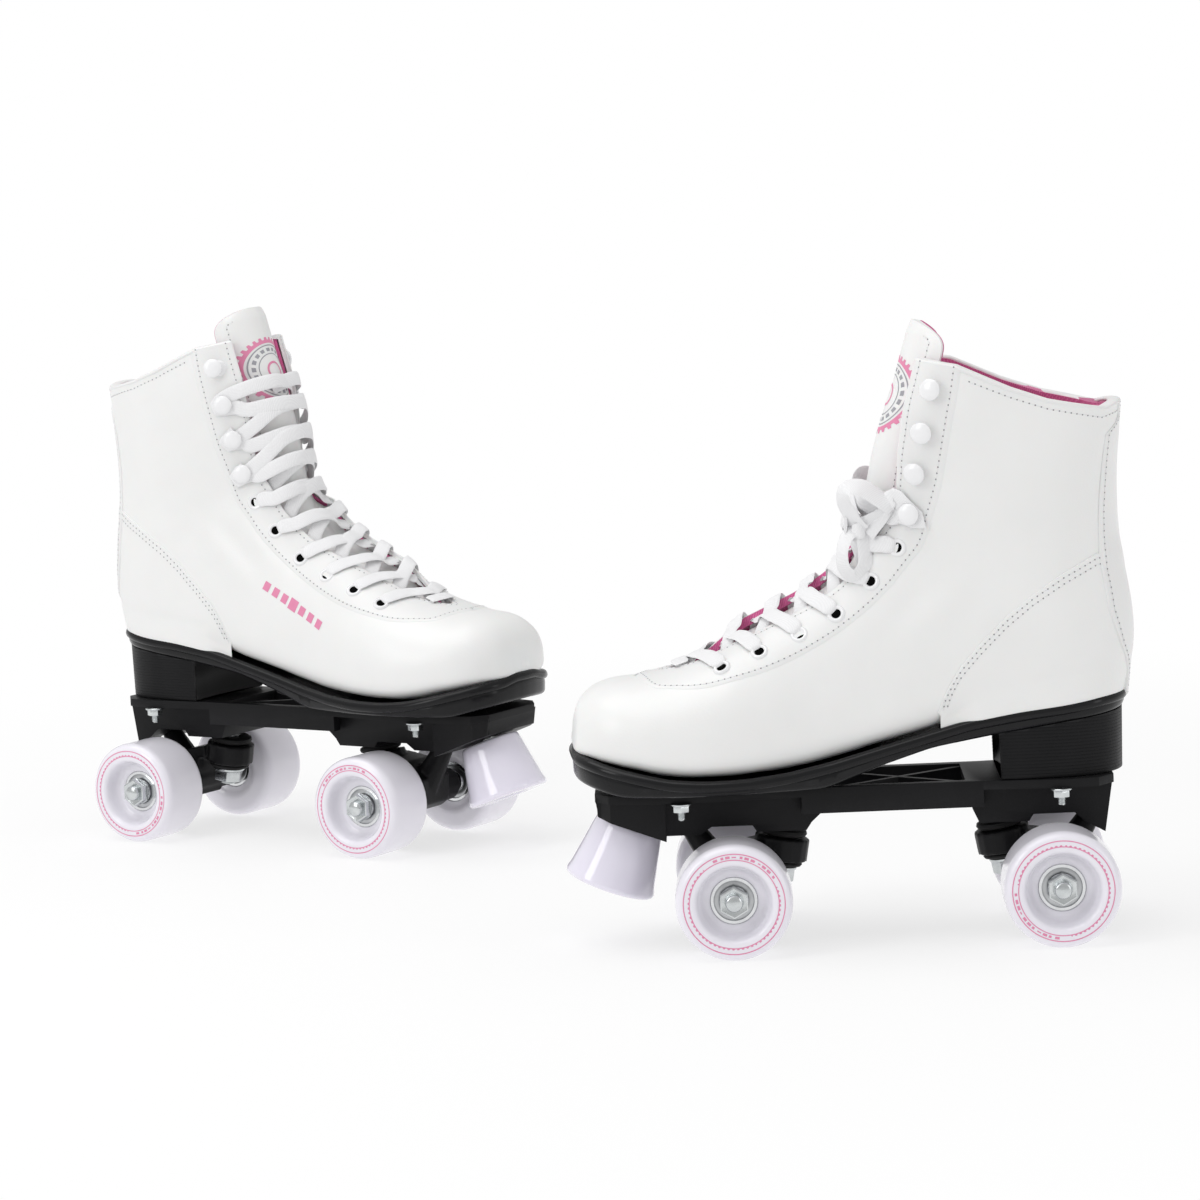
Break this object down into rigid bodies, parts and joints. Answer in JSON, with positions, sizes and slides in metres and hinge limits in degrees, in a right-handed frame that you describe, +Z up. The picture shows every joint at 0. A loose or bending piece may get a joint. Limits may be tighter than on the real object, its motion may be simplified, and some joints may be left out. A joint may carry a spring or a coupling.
{
  "type": "quad roller skates",
  "caption": "Pair of lace-up quad roller skates: high white boots on black plates with sprung steering trucks, turning wheels and toe stops.",
  "frame": {"origin": "on the floor, under the middle of the pair's box", "axes": "+X to the right across both skates, the longest way; +Y from the right skate back to the left one; +Z up. The right skate's toe points to -X."},
  "size_m": [0.5342, 0.4936, 0.2858],
  "materials": {
    "boot_leather": "smooth coated leather, satin",
    "pink_lining": "soft brushed lining",
    "white_lace": "flat woven cotton lace",
    "black_sole": "smooth moulded rubber with a glossy lip",
    "black_heel": "moulded in fine level lines",
    "black_nylon": "satin moulded nylon",
    "black_truck": "satin moulded nylon",
    "cushion_rubber": "matt elastic",
    "lilac_urethane": "glossy cast urethane",
    "white_urethane": "glossy cast urethane with a printed ring",
    "zinc_steel": "zinc plated",
    "bearing_steel": "polished ring with a shield"
  },
  "bodies": {
    "right_skate": {"right_upper": "boot_leather", "right_lining": "pink_lining", "right_tongue": "boot_leather", "right_insole": "pink_lining", "right_outsole": "black_sole", "right_heel_block": "black_heel", "right_laces": "white_lace", "right_plate": "black_nylon", "right_toe_stop": "lilac_urethane", "right_toe_stop_bolt": "zinc_steel", "right_front_kingpin": "zinc_steel", "right_front_cushions": "cushion_rubber", "right_rear_kingpin": "zinc_steel", "right_rear_cushions": "cushion_rubber"},
    "right_front_truck": {"right_front_hanger": "black_truck", "right_front_axle": "zinc_steel", "right_front_inner_nut": "zinc_steel", "right_front_outer_nut": "zinc_steel"},
    "right_front_inner_wheel_set": {"right_front_inner_wheel": "white_urethane", "right_front_inner_bearings": "bearing_steel"},
    "right_front_outer_wheel_set": {"right_front_outer_wheel": "white_urethane", "right_front_outer_bearings": "bearing_steel"},
    "right_rear_truck": {"right_rear_hanger": "black_truck", "right_rear_axle": "zinc_steel", "right_rear_inner_nut": "zinc_steel", "right_rear_outer_nut": "zinc_steel"},
    "right_rear_inner_wheel_set": {"right_rear_inner_wheel": "white_urethane", "right_rear_inner_bearings": "bearing_steel"},
    "right_rear_outer_wheel_set": {"right_rear_outer_wheel": "white_urethane", "right_rear_outer_bearings": "bearing_steel"},
    "left_skate": {"left_upper": "boot_leather", "left_lining": "pink_lining", "left_tongue": "boot_leather", "left_insole": "pink_lining", "left_outsole": "black_sole", "left_heel_block": "black_heel", "left_laces": "white_lace", "left_plate": "black_nylon", "left_toe_stop": "lilac_urethane", "left_toe_stop_bolt": "zinc_steel", "left_front_kingpin": "zinc_steel", "left_front_cushions": "cushion_rubber", "left_rear_kingpin": "zinc_steel", "left_rear_cushions": "cushion_rubber"},
    "left_front_truck": {"left_front_hanger": "black_truck", "left_front_axle": "zinc_steel", "left_front_inner_nut": "zinc_steel", "left_front_outer_nut": "zinc_steel"},
    "left_front_inner_wheel_set": {"left_front_inner_wheel": "white_urethane", "left_front_inner_bearings": "bearing_steel"},
    "left_front_outer_wheel_set": {"left_front_outer_wheel": "white_urethane", "left_front_outer_bearings": "bearing_steel"},
    "left_rear_truck": {"left_rear_hanger": "black_truck", "left_rear_axle": "zinc_steel", "left_rear_inner_nut": "zinc_steel", "left_rear_outer_nut": "zinc_steel"},
    "left_rear_inner_wheel_set": {"left_rear_inner_wheel": "white_urethane", "left_rear_inner_bearings": "bearing_steel"},
    "left_rear_outer_wheel_set": {"left_rear_outer_wheel": "white_urethane", "left_rear_outer_bearings": "bearing_steel"}
  },
  "joints": [
    {"name": "right_front_steer", "type": "hinge", "parent": "right_skate", "child": "right_front_truck", "pos_m": [0.1011, -0.1868, 0.042], "axis": [-0.9422, 0, 0.335], "range_deg": [-7, 7], "stiffness_Nm_per_rad": 12, "deforming": ["right_front_cushions"]},
    {"name": "right_front_inner_roll", "type": "hinge", "parent": "right_front_truck", "child": "right_front_inner_wheel_set", "pos_m": [0.0781, -0.2308, 0.027], "axis": [0, -1, 0], "continuous": true},
    {"name": "right_front_outer_roll", "type": "hinge", "parent": "right_front_truck", "child": "right_front_outer_wheel_set", "pos_m": [0.0781, -0.1428, 0.027], "axis": [0, -1, 0], "continuous": true},
    {"name": "right_rear_steer", "type": "hinge", "parent": "right_skate", "child": "right_rear_truck", "pos_m": [0.2051, -0.1868, 0.042], "axis": [0.9422, 0, 0.335], "range_deg": [-7, 7], "stiffness_Nm_per_rad": 12, "deforming": ["right_rear_cushions"]},
    {"name": "right_rear_inner_roll", "type": "hinge", "parent": "right_rear_truck", "child": "right_rear_inner_wheel_set", "pos_m": [0.2281, -0.2308, 0.027], "axis": [0, -1, 0], "continuous": true},
    {"name": "right_rear_outer_roll", "type": "hinge", "parent": "right_rear_truck", "child": "right_rear_outer_wheel_set", "pos_m": [0.2281, -0.1428, 0.027], "axis": [0, -1, 0], "continuous": true},
    {"name": "left_front_steer", "type": "hinge", "parent": "left_skate", "child": "left_front_truck", "pos_m": [-0.1068, 0.11564, 0.042], "axis": [0.799, -0.4993, 0.335], "range_deg": [-7, 7], "stiffness_Nm_per_rad": 12, "deforming": ["left_front_cushions"]},
    {"name": "left_front_inner_roll", "type": "hinge", "parent": "left_front_truck", "child": "left_front_inner_wheel_set", "pos_m": [-0.11061, 0.06614, 0.027], "axis": [-0.5299, -0.848, 0], "continuous": true},
    {"name": "left_front_outer_roll", "type": "hinge", "parent": "left_front_truck", "child": "left_front_outer_wheel_set", "pos_m": [-0.06398, 0.14077, 0.027], "axis": [-0.5299, -0.848, 0], "continuous": true},
    {"name": "left_rear_steer", "type": "hinge", "parent": "left_skate", "child": "left_rear_truck", "pos_m": [-0.195, 0.17076, 0.042], "axis": [-0.799, 0.4993, 0.335], "range_deg": [-7, 7], "stiffness_Nm_per_rad": 12, "deforming": ["left_rear_cushions"]},
    {"name": "left_rear_inner_roll", "type": "hinge", "parent": "left_rear_truck", "child": "left_rear_inner_wheel_set", "pos_m": [-0.23782, 0.14563, 0.027], "axis": [-0.5299, -0.848, 0], "continuous": true},
    {"name": "left_rear_outer_roll", "type": "hinge", "parent": "left_rear_truck", "child": "left_rear_outer_wheel_set", "pos_m": [-0.19119, 0.22026, 0.027], "axis": [-0.5299, -0.848, 0], "continuous": true},
    {"name": "left_skate_slide", "type": "slide", "parent": "right_skate", "child": "left_skate", "axis": [-0.848, 0.5299, 0], "range_m": [0, 0.15]}
  ]
}
